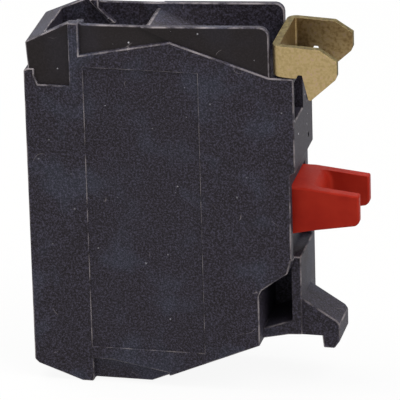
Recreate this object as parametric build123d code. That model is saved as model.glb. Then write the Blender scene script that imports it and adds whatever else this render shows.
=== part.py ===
from build123d import *
from math import cos, radians, sin
import os

os.makedirs("parts", exist_ok=True)

# Clip-on contact block, one normally closed contact, 10 mm wide.
# Millimetres. +X towards the panel (the plunger sticks out that way), +Z up, Y across
# the width. The origin lies on the plunger axis, in the front seating face.

# ---- whole block ----
block_width = 10.0
rear_x = -30.0
rear_bevel = 0.45
shell_wall = 1.1
rear_wall = 1.3
front_wall = 1.3
half_width = block_width / 2
cavity_y = half_width - shell_wall
cavity_rear_x = rear_x + rear_wall
cavity_front_x = -front_wall

# ---- side outline ----
shoulder_z = 15.6
roof_low_z = 18.6
crown_z = 21.1
crown_rear_x = -24.9
crown_front_x = -23.75
rim_z = 20.85
ramp_ridge_x = -17.0
wall_tip_z = 21.65
wall_tip_x = -2.7
wall_tip_radius = 1.0
seat_top_z = 16.0
recess_top_z = 5.1
recess_bottom_z = -5.0
front_setback = 0.6
floor_low_z = -19.5
base_z = -21.3
underside_x = -16.8
heel_x = -13.0
heel_z = -19.4
toe_x = -4.35
toe_z = -15.7
far_rim_drop = 0.35

# ---- how far cutting shapes run past the body ----
cut_over = 1.0
above_z = wall_tip_z + 2 * cut_over

# ---- shallow steps in the two side faces ----
panel_depth = 0.15
panel_rear_x = -23.35
panel_front_x = -10.6
panel_top_z = 16.1
panel_bottom_z = -17.05
roof_step = 0.3
funnel_step = 0.6
channel_step = 0.35
rear_notch_x = -28.85
rear_notch_z = 13.8
funnel_line_low_z = 17.4
gable_x = -13.6
gable_z = 19.5
bottom_line_z = -18.55
bottom_line_x = -21.2

# ---- wire funnels ----
funnel_rear_x = -27.7
funnel_front_x = -17.0
funnel_floor_z = 18.1
guide_rib_size = 0.7
guide_rib_top_x = -24.1
guide_rib_low_x = -22.2
guide_rib_low_z = 18.2
guide_rib_proud = 0.45

# ---- ramp for the screwdriver that lifts the latch ----
ramp_high_z = 19.95
ramp_low_z = 14.7

# ---- rooms left empty to keep the walls even ----
inner_wall = 1.0
core_rear_x = -11.0
core_front_x = -6.6
core_top_z = 14.4

# ---- screw terminals (one above, one below the axis) ----
screw_z = 14.3
thread_radius = 1.75
screw_length = 7.6
head_radius = 2.9
head_height = 2.2
head_round = 0.6
drive_depth = 1.1
slot_half_width = 0.45
cross_half_width = 0.35
cross_half_length = 1.6
cross_extra_depth = 0.3
screw_end_gap = 0.4
driver_hole_radius = 3.2
clamp_x = -18.6
terminal_thickness = 1.0
terminal_width = 6.6
clamp_plate_height = 7.0
groove_pitch = 2.4
groove_width = 0.5
groove_depth = 0.2
groove_clear_radius = 2.3
washer_size = 6.8
washer_thickness = 1.2
washer_lip = 0.5
washer_rim = 0.7
washer_chamfer = 0.5
nut_size = 6.0
nut_thickness = 2.0
rotating_clearance = 0.05
thread_hole_clearance = 0.3

# ---- fixed contacts and bridge ----
strip_thickness = 0.8
strip_width = 4.6
strip_z = 10.6
tab_front_x = -9.2
bridge_length = 16.0
bridge_width = 4.0
bridge_thickness = 0.8
bridge_end = 1.6
contact_radius = 1.5
contact_height = 0.75
contact_z = bridge_length / 2 - bridge_end
tab_end_z = contact_z - contact_radius
bridge_step = 0.5
bridge_corner = 0.8
bridge_dish_radius = 0.9
tip_chamfer = 0.15
moving_tip_radius = 1.3
chamber_rear_x = -16.4

# ---- plunger ----
pre_travel = 1.5
plunger_width = 7.2
plunger_tip_x = 6.7
prong_thickness = 1.2
fork_root_x = 2.35
fork_root_radius = 1.5
fork_corner_radius = 0.5
plunger_root_top_z = 2.8
plunger_tip_top_z = 2.15
plunger_tip_low_z = -1.35
window_half_width = 3.9
window_top_z = 3.2
window_bottom_z = -5.7
stop_gap = 0.05
stop_thickness = 1.3
key_length = 2.0
key_half_width = 1.4
key_half_height = 1.6
key_floor = 1.0
carrier_half_height = 3.55
carrier_half_width = 3.0
carrier_rail = 0.7
channel_gap = 0.2
carrier_rear_x = -18.2
carrier_rear_wall = 1.6
carrier_web = 1.5
carrier_core_half = 1.9
spigot_radius = 1.3
spigot_length = 2.6

# ---- springs ----
return_spring_radius = 2.1
return_spring_wire = 0.45
return_spring_turns = 8
contact_spring_radius = 1.6
contact_spring_wire = 0.35
contact_spring_turns = 5
latch_spring_radius = 1.0
latch_spring_wire = 0.28
latch_spring_turns = 7
spring_room = 0.3

# ---- latch clip (bent steel sheet) ----
sheet = 0.8
clip_half_width = 4.9
clip_rear_x = -2.4
clip_top_z = 19.75
clip_nose_x = 4.8
clip_nose_top_z = 18.25
clip_nose_low_z = 16.3
clip_skirt_z = 16.1
clip_heel_z = 16.5
tooth_tip_x = 1.7
tooth_tip_z = 13.6
tooth_root_x = 0.9
clip_plate_z = 16.8
tail_half_width = 1.6
tail_bottom_z = 7.0
foot_length = 2.9
slide_gap = 0.1
latch_roof_z = 13.4
foot_margin = 0.2
tooth_pocket_z = 10.9
tooth_pocket_depth = 2.3
tooth_web = 0.3
tooth_recess_depth = 1.1
tooth_pocket_lintel = 0.6

# ---- lower hook and the relieved corner above it ----
corner_step = 2.2
corner_rear_x = -4.35
corner_top_z = -5.0
hook_half_width = 2.45
hook_root = 0.8
hook_top_z = -10.8
hook_nose_x = 4.15
hook_nose_z = -13.4
hook_tip_z = -16.55
hook_gap_x = 2.15
hook_seat_z = -15.1
pocket_front_x = -1.1
pocket_bottom_z = -13.3
pocket_slope = 1.2
pocket_floor_y = 3.9

# ---- small round hole in the front face ----
pinhole_y = 2.6
pinhole_z = 6.7
pinhole_radius = 0.3
pinhole_depth = 1.0

# ---- moulded pins that join the two shells ----
pin_radius = 0.8
pin_length = 2.2
pin_fit = 0.03
pin_end_gap = 0.3
pin_root = 0.4
pin_boss_radius = 1.7
wall_pins = [(-14.6, 17.6), (-14.6, -17.6), (-6.6, -6.6)]
room_pins = [(-22.4, 7.3), (-22.4, -7.3)]


def prism(points, y_from, y_to):
    """A side outline of (x, z) corners, filled and carried from y_from to y_to."""
    outline = Polyline(*[(x, y_from, z) for x, z in points], close=True)
    return extrude(make_face(outline), amount=y_to - y_from, dir=(0, 1, 0))


def block(x_from, x_to, y_from, y_to, z_from, z_to):
    """A plain box between two corners."""
    return Pos((x_from + x_to) / 2, (y_from + y_to) / 2, (z_from + z_to) / 2) * Box(
        x_to - x_from, y_to - y_from, z_to - z_from
    )


def rod_x(x_from, x_to, y, z, radius):
    """A round bar along X."""
    return Pos((x_from + x_to) / 2, y, z) * Rot(0, 90, 0) * Cylinder(radius, x_to - x_from)


def rod_y(y_from, y_to, x, z, radius):
    """A round bar along Y."""
    return Pos(x, (y_from + y_to) / 2, z) * Rot(90, 0, 0) * Cylinder(radius, y_to - y_from)


def flip_z(shape):
    """The same shape below the plunger axis."""
    return shape.mirror(Plane.XY)


def coil(radius, wire, turns, length):
    """A compression spring along +Z from 0, its ends cut flat."""
    path = Helix(pitch=(length - wire) / turns, height=length - wire, radius=radius)
    section = Plane(origin=path @ 0, z_dir=path % 0) * Circle(wire / 2)
    return Pos(0, 0, wire / 2) * sweep(section, path=path, is_frenet=True)


def save(shape, node):
    export_step(shape, f"parts/{node}.step")
    print(node, round(shape.volume, 2), "mm3")


# ---------------------------------------------------------------- housing shells
def wall_tip_arc(top_z):
    """Corners of the round at the front top of a side wall."""
    middle_x = wall_tip_x - wall_tip_radius
    middle_z = top_z - wall_tip_radius
    return [
        (middle_x + wall_tip_radius * sin(radians(a)), middle_z + wall_tip_radius * cos(radians(a)))
        for a in (0, 22.5, 45, 67.5, 90)
    ]


def side_outline(rim_drop):
    """Corners of the side face, rear bottom first, going up the rear."""
    return [
        (rear_x + rear_bevel, floor_low_z),
        (rear_x, floor_low_z + rear_bevel),
        (rear_x, shoulder_z - rear_bevel / 2),
        (rear_x + rear_bevel, shoulder_z),
        (rear_x + rear_bevel / 2, roof_low_z),
        (crown_rear_x, crown_z - rim_drop),
        (crown_front_x, crown_z - rim_drop),
        (crown_front_x + 0.3, rim_z - rim_drop),
        (ramp_ridge_x, rim_z + 0.15 - rim_drop),
        *wall_tip_arc(wall_tip_z - rim_drop),
        (wall_tip_x, seat_top_z),
        (0, seat_top_z),
        (0, recess_top_z),
        (-front_setback, recess_top_z - front_setback / 2),
        (-front_setback, recess_bottom_z),
        (0, recess_bottom_z - front_setback),
        (0, toe_z + 0.7),
        (toe_x + 2.8, toe_z + 0.6),
        (toe_x, toe_z),
        (heel_x, heel_z),
        (underside_x, base_z + 0.3),
        (crown_front_x + 0.6, base_z + 0.3),
        (crown_front_x + 0.3, base_z),
        (crown_rear_x + 0.3, base_z),
    ]


def carve_inside(shell, inner_y):
    """Hollow a half shell out to inner_y, the inner face of its side wall."""
    sign = 1 if inner_y > 0 else -1

    def room(x_from, x_to, depth, z_from, z_to):
        y = sorted((0, sign * depth))
        return block(x_from, x_to, y[0], y[1], z_from, z_to)

    # plunger channel, the chamber that the bridge crosses, and the front window
    channel = carrier_half_height + channel_gap
    shell -= room(cavity_rear_x, cavity_front_x, cavity_y, -channel, channel)
    shell -= room(chamber_rear_x, tab_front_x, cavity_y, -strip_z, strip_z)
    shell -= room(cavity_front_x, cut_over, window_half_width, window_bottom_z, window_top_z)

    nut_x = clamp_x + terminal_thickness
    screw_end_x = clamp_x - washer_thickness + screw_length + screw_end_gap
    strip_low_z = strip_z - strip_thickness
    for side in (1, -1):
        # funnel that the wires drop into, open to the outside
        rooms = room(funnel_rear_x, funnel_front_x, cavity_y, funnel_floor_z, above_z)
        # chamber of the screw head and its washer
        rooms += room(funnel_rear_x, clamp_x, cavity_y, strip_z, funnel_floor_z)
        # seats of the terminal plate, of the strip behind it and of the nut
        rooms += room(clamp_x, nut_x, terminal_width / 2, strip_low_z, funnel_floor_z)
        rooms += room(clamp_x, tab_front_x, strip_width / 2, strip_low_z, strip_z)
        rooms += room(nut_x, nut_x + nut_thickness, nut_size / 2,
                      screw_z - nut_size / 2, screw_z + nut_size / 2)
        # rooms left empty to keep the walls even
        rooms += room(funnel_rear_x, chamber_rear_x - shell_wall, cavity_y,
                      channel + inner_wall, strip_low_z - shell_wall)
        rooms += room(core_rear_x, core_front_x, cavity_y, strip_z + inner_wall, core_top_z)
        shell -= rooms if side == 1 else flip_z(rooms)
        # the screw's end, and the hole in the rear wall for the screwdriver
        shell -= rod_x(nut_x, screw_end_x, 0, side * screw_z, thread_radius + thread_hole_clearance)
        shell -= rod_x(rear_x - cut_over, funnel_rear_x + cut_over, 0, side * screw_z,
                       driver_hole_radius)
    return shell


def guide_rib(wall_y, proud):
    """Slanting bead on a funnel wall that leads the wire under the washer."""
    sign = 1 if wall_y > 0 else -1
    y = sorted((wall_y, wall_y - sign * guide_rib_size))
    top_z = rim_z + proud
    bead = prism(
        [
            (guide_rib_top_x - guide_rib_size / 2, top_z - 0.25),
            (guide_rib_top_x, top_z),
            (guide_rib_top_x + guide_rib_size, top_z),
            (guide_rib_top_x + guide_rib_size, top_z - 1.0),
            (guide_rib_low_x + guide_rib_size, guide_rib_low_z),
            (guide_rib_low_x, guide_rib_low_z),
        ],
        y[0],
        y[1],
    )
    return bead


def latch_room(shell, y_from, y_to):
    """Slot for the clip's tail, and the well of its spring."""
    side = (max(y_from, -tail_half_width - slide_gap), min(y_to, tail_half_width + slide_gap))
    slot_rear = clip_rear_x - slide_gap
    slot_front = clip_rear_x + sheet + slide_gap
    shell -= block(slot_rear, slot_front, side[0], side[1], tail_bottom_z - slide_gap,
                   seat_top_z + cut_over)
    well = latch_spring_radius + latch_spring_wire / 2 + spring_room
    well_y = (max(y_from, -well), min(y_to, well))
    shell -= block(clip_rear_x - foot_length - slide_gap, slot_rear, well_y[0], well_y[1],
                   tail_bottom_z - slide_gap, latch_roof_z)
    return shell


def hook(y_from, y_to):
    """Downward hook that catches the lower edge of the collar."""
    return prism(
        [
            (-hook_root, hook_top_z),
            (0, hook_top_z),
            (hook_nose_x - 0.3, hook_nose_z + 0.15),
            (hook_nose_x, hook_nose_z - 0.3),
            (hook_nose_x, hook_tip_z + 0.95),
            (hook_nose_x - 0.65, hook_tip_z),
            (hook_gap_x + 0.15, hook_tip_z),
            (hook_gap_x, hook_seat_z),
            (-hook_root, hook_seat_z),
        ],
        y_from,
        y_to,
    )


def side_cut(points, sign, depth):
    """A shallow step of the given depth in one side face."""
    y = sorted((sign * (half_width + cut_over), sign * (half_width - depth)))
    return prism(points, y[0], y[1])


def step_side(shell, sign):
    """The steps that both side faces have."""
    shell -= side_cut(
        [
            (rear_x - cut_over, shoulder_z),
            (rear_notch_x, shoulder_z),
            (rear_notch_x, rear_notch_z + 1.0),
            (rear_notch_x + 0.4, rear_notch_z),
            (crown_rear_x, rear_notch_z),
            (crown_rear_x, above_z),
            (rear_x - cut_over, above_z),
        ],
        sign,
        roof_step,
    )
    shell -= side_cut(
        [
            (crown_front_x, funnel_line_low_z),
            (gable_x, gable_z),
            (ramp_ridge_x, rim_z + 0.15),
            (ramp_ridge_x, above_z),
            (crown_front_x, above_z),
        ],
        sign,
        funnel_step,
    )
    shell -= side_cut(
        [
            (ramp_ridge_x - 0.01, rim_z + 0.15),
            (gable_x, gable_z),
            (wall_tip_x, seat_top_z),
            (cut_over, seat_top_z),
            (cut_over, above_z),
            (ramp_ridge_x - 0.01, above_z),
        ],
        sign,
        channel_step,
    )
    shell -= side_cut(
        [
            (panel_rear_x, panel_bottom_z),
            (panel_front_x, panel_bottom_z),
            (panel_front_x, panel_top_z),
            (panel_rear_x, panel_top_z),
        ],
        sign,
        panel_depth,
    )
    return shell


def near_shell():
    shell = step_side(prism(side_outline(0), -half_width, 0), -1)
    below_z = base_z - cut_over
    shell -= side_cut(
        [
            (crown_front_x + 0.5, bottom_line_z),
            (bottom_line_x, bottom_line_z),
            (heel_x - 1.8, heel_z - 0.3),
            (heel_x - 1.0, below_z),
            (crown_front_x + 0.5, below_z),
        ],
        -1,
        funnel_step,
    )
    # relieved corner above the hook
    shell -= side_cut(
        [(cut_over, corner_top_z)] + corner_line()
        + [(corner_rear_x, toe_z - cut_over), (cut_over, toe_z - cut_over)],
        -1,
        corner_step,
    )
    shell = carve_inside(shell, -cavity_y)
    shell = hollow_channel(shell, -cavity_y, 0)
    shell += guide_rib(-cavity_y - 0.05, 0.2)
    shell += flip_z(guide_rib(-cavity_y - 0.05, 0.0))
    shell = latch_room(shell, -half_width, 0)
    shell -= tooth_pocket(-1)
    shell += hook(-hook_half_width, 0)
    shell -= corner_pocket(-half_width, 0)
    shell += pin_bosses(-half_width + 0.2, 0)
    for x, z in wall_pins + room_pins:
        shell += rod_y(-pin_root, pin_length, x, z, pin_radius)
    return shell


def far_shell():
    shell = step_side(prism(side_outline(far_rim_drop), 0, half_width), 1)
    shell = carve_inside(shell, cavity_y)
    shell = hollow_channel(shell, 0, cavity_y)
    shell += guide_rib(cavity_y + 0.05, guide_rib_proud - far_rim_drop)
    shell += flip_z(guide_rib(cavity_y + 0.05, 0.0))
    shell = latch_room(shell, 0, half_width)
    shell -= tooth_pocket(1)
    shell += hook(0, hook_half_width)
    shell -= corner_pocket(0, pocket_floor_y)
    shell += pin_bosses(0, half_width - 0.2)
    for x, z in wall_pins + room_pins:
        shell -= rod_y(-0.1, pin_length + pin_end_gap, x, z, pin_radius + pin_fit)
    shell -= rod_x(-pinhole_depth, cut_over, pinhole_y, pinhole_z, pinhole_radius)
    return shell


def hollow_channel(shell, y_from, y_to):
    """Open the trough above the ramp, between the funnel and the latch."""
    trough = prism(
        [
            (ramp_ridge_x - 0.01, ramp_high_z),
            (ramp_ridge_x + 0.35, ramp_high_z + 0.1),
            (wall_tip_x, ramp_low_z),
            (wall_tip_x + 3, ramp_low_z),
            (wall_tip_x + 3, above_z),
            (ramp_ridge_x - 0.01, above_z),
        ],
        y_from,
        y_to,
    )
    keep_front = block(wall_tip_x, cut_over, y_from, y_to, 0, seat_top_z)
    return shell - (trough - keep_front)


def corner_line():
    """Edge of the side face down to the relieved corner, from its front end."""
    return [
        (-front_setback - 0.1, corner_top_z - 0.3),
        (pocket_front_x, corner_top_z - 1.9),
        (-2.5, corner_top_z - 2.9),
        (corner_rear_x + 0.3, corner_top_z - 4.1),
        (corner_rear_x, corner_top_z - 4.7),
    ]


def corner_pocket(y_from, y_to):
    """Deep pocket behind the front wall, above the hook."""
    return prism(
        corner_line()[1:]
        + [(corner_rear_x, pocket_bottom_z - pocket_slope), (pocket_front_x, pocket_bottom_z)],
        y_from,
        y_to,
    )


def tooth_pocket(sign):
    """Room behind the clip's tooth for the collar's edge, shallow in front of the tail."""
    outside = half_width - channel_step - sheet / 4
    inside = tail_half_width + slide_gap + tooth_web
    top = seat_top_z - tooth_pocket_lintel
    y = sorted((sign * outside, sign * inside))
    pocket = block(-tooth_pocket_depth, cut_over, y[0], y[1], tooth_pocket_z, top)
    if sign < 0:
        pocket += block(-tooth_recess_depth, cut_over, -inside, 0, tooth_pocket_z, top)
    return pocket


def pin_bosses(y_from, y_to):
    """Round bosses for the joining pins that stand in the empty rooms."""
    x, z = room_pins[0]
    bosses = rod_y(y_from, y_to, x, z, pin_boss_radius)
    for x, z in room_pins[1:]:
        bosses += rod_y(y_from, y_to, x, z, pin_boss_radius)
    return bosses


# ---------------------------------------------------------------- terminals
def terminal(side):
    """Brass conductor: clamp plate, strip along the chamber's roof, contact tab."""
    half = terminal_width / 2
    half_strip = strip_width / 2
    strip_low_z = strip_z - strip_thickness
    piece = block(clamp_x, clamp_x + terminal_thickness, -half, half,
                  strip_low_z, strip_z + clamp_plate_height)
    piece += block(clamp_x, tab_front_x, -half_strip, half_strip, strip_low_z, strip_z)
    piece += block(tab_front_x - strip_thickness, tab_front_x, -half_strip, half_strip,
                   tab_end_z, strip_z)
    piece -= rod_x(clamp_x - cut_over, clamp_x + terminal_thickness + cut_over, 0, screw_z,
                   thread_radius + thread_hole_clearance)
    # grooves that bite into the wires, left out around the screw
    around_screw = rod_x(clamp_x - cut_over, clamp_x + cut_over, 0, screw_z, groove_clear_radius)
    for step in (-1, 0, 1):
        z = screw_z + step * groove_pitch
        groove = block(clamp_x - cut_over, clamp_x + groove_depth, -half, half,
                       z - groove_width / 2, z + groove_width / 2)
        piece -= groove - around_screw
    return piece if side == 1 else flip_z(piece)


def fixed_tip(side):
    rear = tab_front_x - strip_thickness - contact_height
    tip = rod_x(rear, rear + contact_height, 0, contact_z, contact_radius)
    tip = chamfer(tip.edges().sort_by(Axis.X)[0], tip_chamfer)
    return tip if side == 1 else flip_z(tip)


def terminal_nut(side):
    """Square nut behind the clamp plate."""
    x = clamp_x + terminal_thickness
    half = nut_size / 2
    nut = block(x, x + nut_thickness, -half, half, screw_z - half, screw_z + half)
    nut -= rod_x(x - cut_over, x + nut_thickness + cut_over, 0, screw_z,
                 thread_radius + rotating_clearance)
    return nut if side == 1 else flip_z(nut)


def clamp_washer(side):
    """Cup washer whose turned-down edges hold the wires under the screw head."""
    half = washer_size / 2
    inside = half - washer_rim
    washer = block(clamp_x - washer_thickness, clamp_x, -half, half, screw_z - half, screw_z + half)
    washer = chamfer(washer.edges().filter_by(Axis.X), washer_chamfer)
    washer -= block(clamp_x - washer_lip, clamp_x + cut_over, -inside, inside,
                    screw_z - half - cut_over, screw_z + half + cut_over)
    washer -= rod_x(clamp_x - washer_thickness - cut_over, clamp_x + cut_over, 0, screw_z,
                    thread_radius + rotating_clearance)
    return washer if side == 1 else flip_z(washer)


def terminal_screw(side):
    """Pan head screw with a slot and a cross."""
    under = clamp_x - washer_thickness
    top = under - head_height
    head = rod_x(top, under, 0, screw_z, head_radius)
    head = fillet(head.edges().sort_by(Axis.X)[0], head_round)
    shank = rod_x(under, under + screw_length, 0, screw_z, thread_radius)
    shank = chamfer(shank.edges().sort_by(Axis.X)[-1], thread_radius / 5)
    screw = head + shank
    slot_end = head_radius + cut_over
    screw -= block(top - cut_over, top + drive_depth, -slot_half_width, slot_half_width,
                   screw_z - slot_end, screw_z + slot_end)
    screw -= block(top - cut_over, top + drive_depth + cross_extra_depth,
                   -cross_half_length, cross_half_length,
                   screw_z - cross_half_width, screw_z + cross_half_width)
    return screw if side == 1 else flip_z(screw)


# ---------------------------------------------------------------- bridge and plunger
contact_plane_x = tab_front_x - strip_thickness - contact_height
bridge_front_x = contact_plane_x - contact_height
bridge_rear_x = bridge_front_x - bridge_thickness
cage_front_x = bridge_front_x + pre_travel + stop_gap
cage_rear_x = carrier_rear_x + carrier_rear_wall
head_rear_x = cavity_front_x - stop_gap - stop_thickness


def contact_bridge():
    """Flat strip, its middle dished rearwards to seat the contact spring."""
    half = bridge_length / 2
    bar = block(bridge_rear_x, bridge_front_x, -bridge_width / 2, bridge_width / 2, -half, half)
    bar = fillet(bar.edges().filter_by(Axis.X), bridge_corner)
    bar += rod_x(bridge_rear_x - bridge_step, bridge_rear_x, 0, 0, bridge_dish_radius)
    return bar


def bridge_tip(side):
    tip = rod_x(bridge_front_x, contact_plane_x, 0, contact_z, moving_tip_radius)
    tip = chamfer(tip.edges().sort_by(Axis.X)[-1], tip_chamfer)
    return tip if side == 1 else flip_z(tip)


def plunger_head():
    """Forked actuator with a square root that plugs into the carrier."""
    half = plunger_width / 2
    rear = cavity_front_x - stop_gap
    fork = prism(
        [
            (rear, -plunger_root_top_z),
            (rear, plunger_root_top_z),
            (0.6, plunger_root_top_z),
            (plunger_tip_x, plunger_tip_top_z),
            (plunger_tip_x, plunger_tip_low_z + 0.4),
            (plunger_tip_x - 0.4, plunger_tip_low_z),
            (fork_root_x - 1, -plunger_root_top_z + 0.6),
        ],
        -half,
        half,
    )
    # the room between the prongs: its root is rounded over at the top and in both corners
    gap = half - prong_thickness
    low = plunger_root_top_z - fork_root_radius
    room = block(fork_root_x - fork_root_radius, plunger_tip_x + cut_over, -gap, gap,
                 -carrier_half_height, carrier_half_height)
    room -= block(fork_root_x - fork_root_radius, fork_root_x, -gap, gap,
                  -carrier_half_height, low)
    room -= rod_y(-gap, gap, fork_root_x - fork_root_radius, low, fork_root_radius)
    root_edges = room.edges().filter_by(
        lambda e: e.center().X < fork_root_x + 0.01 and e.center().Z < plunger_root_top_z
        and abs(abs(e.center().Y) - gap) < 0.01 and e.length > fork_corner_radius
    )
    room = fillet(root_edges, fork_corner_radius)
    fork -= room
    stop = block(head_rear_x, rear, -half, half, -carrier_half_height, carrier_half_height)
    key = block(head_rear_x - key_length, head_rear_x, -key_half_width, key_half_width,
                -key_half_height, key_half_height)
    return fork + stop + key


def contact_carrier():
    """Cage behind the plunger: the bridge crosses its window."""
    height = carrier_half_height
    cage = block(carrier_rear_x, head_rear_x, -carrier_half_width, carrier_half_width,
                 -height, height)
    window = carrier_half_width - carrier_rail
    cage -= block(cage_rear_x, cage_front_x, -window, window, -height, height)
    cage -= block(head_rear_x - key_length, head_rear_x, -key_half_width, key_half_width,
                  -key_half_height, key_half_height)
    core = block(cage_front_x + carrier_web, head_rear_x - key_length - key_floor,
                 -carrier_half_width, carrier_half_width, carrier_core_half, height)
    cage -= core
    cage -= flip_z(core)
    cage += rod_x(carrier_rear_x - spigot_length, carrier_rear_x, 0, 0, spigot_radius)
    return cage


# ---------------------------------------------------------------- latch clip
def latch_clip():
    """U of sheet steel with a tooth on each flap, a tail and a spring foot."""
    side = [
        (clip_rear_x + sheet, clip_top_z),
        (clip_nose_x - 1.95, clip_top_z - 0.25),
        (clip_nose_x, clip_nose_top_z),
        (clip_nose_x, clip_nose_low_z + 0.3),
        (clip_nose_x - 0.2, clip_nose_low_z - 0.15),
        (tooth_tip_x + 0.15, tooth_tip_z),
        (tooth_tip_x - 0.1, tooth_tip_z + 0.1),
        (tooth_root_x + 0.05, clip_heel_z),
        (tooth_root_x - 0.4, clip_heel_z),
        (tooth_root_x - 0.6, clip_skirt_z),
        (tooth_root_x - 1.2, clip_skirt_z),
        (clip_rear_x + 0.35, clip_heel_z - 0.1),
        (clip_rear_x, clip_heel_z + 0.3),
        (clip_rear_x, clip_top_z),
    ]
    outer = clip_half_width
    near_flap = prism(side, -outer, -outer + sheet)
    far_flap = prism(side, outer - sheet, outer)
    plate = block(clip_rear_x, clip_rear_x + sheet, -outer, outer, clip_plate_z, clip_top_z)
    clip = near_flap + plate + far_flap
    bends = clip.edges().filter_by(Axis.Z).filter_by(
        lambda e: abs(e.center().X - clip_rear_x) < 0.01 and abs(abs(e.center().Y) - outer) < 0.01
    )
    clip = fillet(bends, sheet * 0.8)
    clip += block(clip_rear_x, clip_rear_x + sheet, -tail_half_width, tail_half_width,
                  tail_bottom_z, clip_plate_z + 0.1)
    foot_half = latch_spring_radius + foot_margin
    clip += block(clip_rear_x - foot_length, clip_rear_x + sheet, -foot_half, foot_half,
                  tail_bottom_z, tail_bottom_z + sheet)
    return clip


def latch_spring():
    x = clip_rear_x - foot_length / 2 - 0.05
    length = latch_roof_z - tail_bottom_z - sheet
    spring = coil(latch_spring_radius, latch_spring_wire, latch_spring_turns, length)
    return Pos(x, 0, tail_bottom_z + sheet) * spring


def return_spring():
    length = carrier_rear_x - cavity_rear_x
    spring = coil(return_spring_radius, return_spring_wire, return_spring_turns, length)
    return Pos(cavity_rear_x, 0, 0) * Rot(0, 90, 0) * spring


def contact_spring():
    length = bridge_rear_x - cage_rear_x
    spring = coil(contact_spring_radius, contact_spring_wire, contact_spring_turns, length)
    return Pos(cage_rear_x, 0, 0) * Rot(0, 90, 0) * spring


save(near_shell(), "housing_near")
save(far_shell(), "housing_far")
save(plunger_head(), "plunger_head")
save(contact_carrier(), "contact_carrier")
save(contact_bridge(), "contact_bridge")
save(latch_clip(), "latch_clip")
save(latch_spring(), "latch_spring")
save(return_spring(), "return_spring")
save(contact_spring(), "contact_spring")
for level, name in ((1, "top"), (-1, "bottom")):
    save(terminal(level), f"terminal_{name}")
    save(fixed_tip(level), f"fixed_contact_{name}")
    save(bridge_tip(level), f"bridge_contact_{name}")
    save(terminal_nut(level), f"terminal_nut_{name}")
    save(clamp_washer(level), f"clamp_washer_{name}")
    save(terminal_screw(level), f"terminal_screw_{name}")
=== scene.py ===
import math

import bmesh
import bpy
import numpy as np
from mathutils import Matrix, Vector


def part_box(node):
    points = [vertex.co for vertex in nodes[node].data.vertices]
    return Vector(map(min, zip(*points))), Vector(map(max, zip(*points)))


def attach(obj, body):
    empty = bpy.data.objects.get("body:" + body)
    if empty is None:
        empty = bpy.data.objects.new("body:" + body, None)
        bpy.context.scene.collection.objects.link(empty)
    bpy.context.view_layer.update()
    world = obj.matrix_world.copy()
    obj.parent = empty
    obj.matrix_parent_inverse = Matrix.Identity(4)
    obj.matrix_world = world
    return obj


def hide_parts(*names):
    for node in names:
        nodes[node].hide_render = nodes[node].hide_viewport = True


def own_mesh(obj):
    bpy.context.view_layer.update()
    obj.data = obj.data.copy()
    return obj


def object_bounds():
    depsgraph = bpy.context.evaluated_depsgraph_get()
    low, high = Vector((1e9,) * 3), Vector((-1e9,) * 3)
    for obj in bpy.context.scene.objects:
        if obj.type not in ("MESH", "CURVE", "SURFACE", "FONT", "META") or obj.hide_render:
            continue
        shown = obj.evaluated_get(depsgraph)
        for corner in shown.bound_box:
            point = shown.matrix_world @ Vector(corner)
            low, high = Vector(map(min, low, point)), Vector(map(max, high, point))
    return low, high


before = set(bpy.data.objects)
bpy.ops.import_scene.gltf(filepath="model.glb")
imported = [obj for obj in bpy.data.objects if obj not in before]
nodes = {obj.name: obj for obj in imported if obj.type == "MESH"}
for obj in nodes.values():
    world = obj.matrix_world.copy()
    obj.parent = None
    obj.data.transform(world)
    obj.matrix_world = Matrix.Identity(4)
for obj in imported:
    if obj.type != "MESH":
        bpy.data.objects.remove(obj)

mm = 0.001
noiseSpan = {"From Min": 0.3, "From Max": 0.7}   # nearly all values of a noise lie in here
mergeDistance = 0.0004 * mm                      # points of a solid closer than this are one
flatAngle = math.radians(0.6)                    # triangles closer than this lie in one plane
cadBox = [list(corner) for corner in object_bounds()]
print("frame loaded:", len(nodes), "nodes")


# sRGB hex to linear: each channel over 255, then the sRGB curve undone
def linearColour(hexText):
    channels = np.array([int(hexText[i:i + 2], 16) for i in (1, 3, 5)]) / 255
    straight = np.where(channels <= 0.04045, channels / 12.92,
                        ((channels + 0.055) / 1.055) ** 2.4)
    return (*straight.tolist(), 1.0)


# Adds one node. A setting or a link is a socket's name or number, or else a property; the
# stops of a colour ramp are pairs of place, from 0 to 1, and hex.
def addNode(tree, kind, settings=None, links=None):
    node = tree.nodes.new(kind)
    for key, value in (settings or {}).items():
        if key == "stops":
            elements = node.color_ramp.elements
            while len(elements) < len(value):
                elements.new(0.5)
            for element, (place, hexText) in zip(elements, value):
                element.position = place
                element.color = linearColour(hexText)
        elif isinstance(key, int) or key in node.inputs:
            node.inputs[key].default_value = value
        else:
            setattr(node, key, value)
    for key, source in (links or {}).items():
        tree.links.new(source, node.inputs[key])
    return node


# An empty material and its node tree
def newMaterial(name):
    material = bpy.data.materials.new(name)
    material.use_nodes = True
    material.node_tree.nodes.clear()
    return material, material.node_tree


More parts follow.
